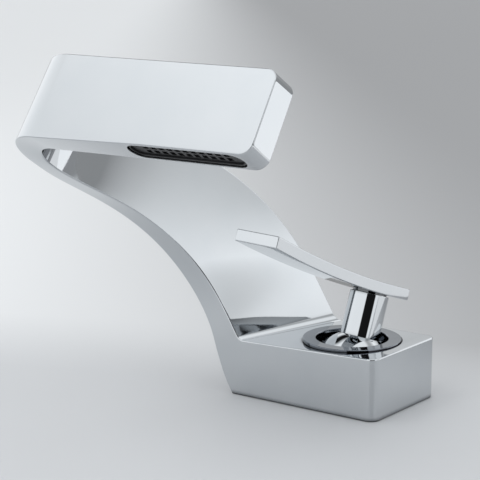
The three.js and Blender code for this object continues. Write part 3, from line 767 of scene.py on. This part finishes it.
node_slots = {s["node"]: s["material_slot"] for s in frame["record"]["subparts"]}
for node_name, node in frame["nodes"].items():
    node.data.materials.clear()
    node.data.materials.append(materials[node_slots[node_name]])
    smooth(node, 35)


def fit(obj, body_name, node_name):
    """Lets a detailed piece stand for a CAD node: its look, its body and its slot."""
    obj.data.materials.clear()
    obj.data.materials.append(materials[node_slots[node_name]])
    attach(obj, body_name)
    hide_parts(node_name)


fit(body(), "body", "faucet_body")
fit(outlet_frame(), "body", "outlet_frame")
fit(outlet_grille(), "body", "outlet_grille")
fit(cover_ring(), "body", "cover_ring")
fit(threaded_stud(), "body", "fixing_stud")
fit(fixing_nut(), "body", "fixing_nut")
fit(ball_cover(), "lever", "ball_cover")
fit(stem(), "lever", "stem")
fit(blade(), "lever", "lever_blade")
fit(screw_plug(), "lever", "screw_plug")

# ---------------------------------------------------------------- floor, light and camera


def floor():
    """Floor with a painted pool of light at the left and painted shade towards the back right, and
    an even colour close to the part.
    """
    size = 6.0
    mesh = bpy.data.meshes.new("floor")
    corners = [(-size, -size, 0), (size, -size, 0), (size, size, 0), (-size, size, 0)]
    mesh.from_pydata(corners, [], [(0, 1, 2, 3)])
    obj = new_object("floor", mesh)
    material, tree, shader = node_material("painted_light_floor", (0.5, 0.505, 0.515), 0, 0.5)
    coords = tree.nodes.new("ShaderNodeTexCoord").outputs["Object"]
    across = dot_with(tree, coords, (0.8, 0.6, 0))
    # painted light and shade: the floor colour runs from bright at the left to dark at the back
    # right
    ramp = tree.nodes.new("ShaderNodeValToRGB")
    ramp.color_ramp.interpolation = "EASE"
    ramp.color_ramp.elements[0].color = (0.77, 0.78, 0.79, 1)
    ramp.color_ramp.elements[1].color = (0.285, 0.287, 0.295, 1)
    tree.links.new(stepped(tree, across, -0.3, 0.22), ramp.inputs["Fac"])
    nearness = stepped(tree, dot_with(tree, coords, (0.35, -0.94, 0)), -0.11, -0.01)
    colour = blended(tree, nearness, ramp.outputs["Color"], (0.57, 0.58, 0.595))
    tree.links.new(colour, shader.inputs["Base Color"])
    mesh.materials.append(material)


def compass(azimuth, elevation):
    """Direction seen from the object: azimuth 0 towards -Y, 90 towards +X, in degrees."""
    a, e = math.radians(azimuth), math.radians(elevation)
    return Vector((math.sin(a) * math.cos(e), -math.cos(a) * math.cos(e), math.sin(e)))


def studio():
    """Pale studio, darker low behind the part, with a dark panel front right and back left."""
    world = bpy.data.worlds.new("studio")
    bpy.context.scene.world = world
    world.use_nodes = True
    tree = world.node_tree
    coords = tree.nodes.new("ShaderNodeTexCoord").outputs["Generated"]
    split = tree.nodes.new("ShaderNodeSeparateXYZ")
    tree.links.new(coords, split.inputs["Vector"])
    height = split.outputs["Z"]
    in_front = sky(tree, height, [(0, 0.8), (14, 0.88), (38, 0.79), (46, 0.94), (90, 0.8)])
    behind = sky(tree, height, [(9, 0.27), (20, 0.66), (32, 0.95), (37, 0.64), (43, 0.4),
                                (49, 0.4), (56, 0.83), (90, 0.85)])
    back = dot_with(tree, coords, compass(165, 0))
    colour = blended(tree, stepped(tree, back, 0.2, 0.46), in_front, behind)
    background = tree.nodes["Background"]
    tree.links.new(colour, background.inputs["Color"])
    panel = maths(tree, "MAXIMUM", panel_mask(tree, coords, 44, 20, 25, 27),
                  panel_mask(tree, coords, -120, 46, 18, 12, 6))
    strength = tree.nodes.new("ShaderNodeMapRange")
    strength.inputs["To Min"].default_value = 1.5
    strength.inputs["To Max"].default_value = 0.015
    tree.links.new(panel, strength.inputs["Value"])
    tree.links.new(strength.outputs["Result"], background.inputs["Strength"])


def sky(tree, height, stops):
    """Brightness by elevation in degrees, as a share of the brightest."""
    ramp = tree.nodes.new("ShaderNodeValToRGB")
    elements = ramp.color_ramp.elements
    while len(elements) < len(stops):
        elements.new(0.5)
    for element, (elevation, share) in zip(elements, stops):
        element.position = math.sin(math.radians(elevation))
        element.color = (0.965 * share, 0.985 * share, share, 1)
    tree.links.new(height, ramp.inputs["Fac"])
    return ramp.outputs["Color"]


def panel_mask(tree, coords, azimuth, elevation, half_width, half_height, edge=1.5):
    """One inside a rectangular panel seen in a direction, zero outside it. Sizes in degrees."""
    forward = compass(azimuth, elevation)
    right = compass(azimuth + 90, 0)
    ahead = dot_with(tree, coords, forward)
    mask = stepped(tree, ahead, 0.1, 0.2)
    for axis, half in ((right, half_width), (right.cross(forward), half_height)):
        ratio = maths(tree, "DIVIDE", dot_with(tree, coords, axis), ahead)
        offset = maths(tree, "ABSOLUTE", ratio)
        inside = stepped(tree, offset, math.tan(math.radians(half + edge)),
                         math.tan(math.radians(half - edge)))
        mask = maths(tree, "MULTIPLY", mask, inside)
    return mask


def card(name, azimuth, distance, left, right, height, glow):
    """Upright card facing the part, only seen in reflections. Lengths in metres."""
    centre, side = compass(azimuth, 0) * distance, compass(azimuth - 90, 0)
    corners = [centre + side * left, centre + side * right]
    corners += [corner + Vector((0, 0, height)) for corner in corners[::-1]]
    mesh = bpy.data.meshes.new(name)
    mesh.from_pydata([tuple(p) for p in corners], [], [(0, 1, 2, 3)])
    obj = new_object(name, mesh)
    material, tree, shader = node_material(name, (0, 0, 0), 0, 1)
    shader.inputs["Emission Color"].default_value = (0.97, 0.985, 1, 1)
    shader.inputs["Emission Strength"].default_value = glow
    mesh.materials.append(material)
    for flag in ("visible_camera", "visible_diffuse", "visible_shadow"):
        setattr(obj, flag, False)


def area_light(name, direction, distance, size, power):
    light = bpy.data.lights.new(name, "AREA")
    light.shape = "DISK"
    light.size = size
    light.energy = power
    obj = bpy.data.objects.new(name, light)
    bpy.context.scene.collection.objects.link(obj)
    obj.location = direction * distance + Vector((0, 0, 0.05))
    obj.rotation_mode = "QUATERNION"
    obj.rotation_quaternion = direction.to_track_quat("Z", "Y")
    obj.visible_camera = False
    obj.visible_glossy = False


def camera():
    """Camera at the photograph's viewing angle."""
    data = bpy.data.cameras.new("camera")
    data.sensor_width = 36
    data.lens = 110.26
    data.clip_start, data.clip_end = 0.05, 50
    obj = bpy.data.objects.new("camera", data)
    bpy.context.scene.collection.objects.link(obj)
    position = Vector((339.81, -569.84, 209.81)) * MM
    target = Vector((-56.79, -10.0, 70.9)) * MM
    obj.location = position
    obj.rotation_mode = "QUATERNION"
    obj.rotation_quaternion = (position - target).to_track_quat("Z", "Y")
    bpy.context.scene.camera = obj


bpy.context.scene.view_settings.view_transform = "Standard"
floor()
studio()
card("tall_card", 140, 0.205, left=-0.06, right=0.095, height=0.15, glow=1.4)
card("low_card", 140, 0.2, left=-0.06, right=0.24, height=0.05, glow=1.08)
card("grey_card", -146, 0.14, left=-0.06, right=0.02, height=0.05, glow=0.3)
area_light("key", compass(-60, 50), distance=1.2, size=0.9, power=3)
camera()
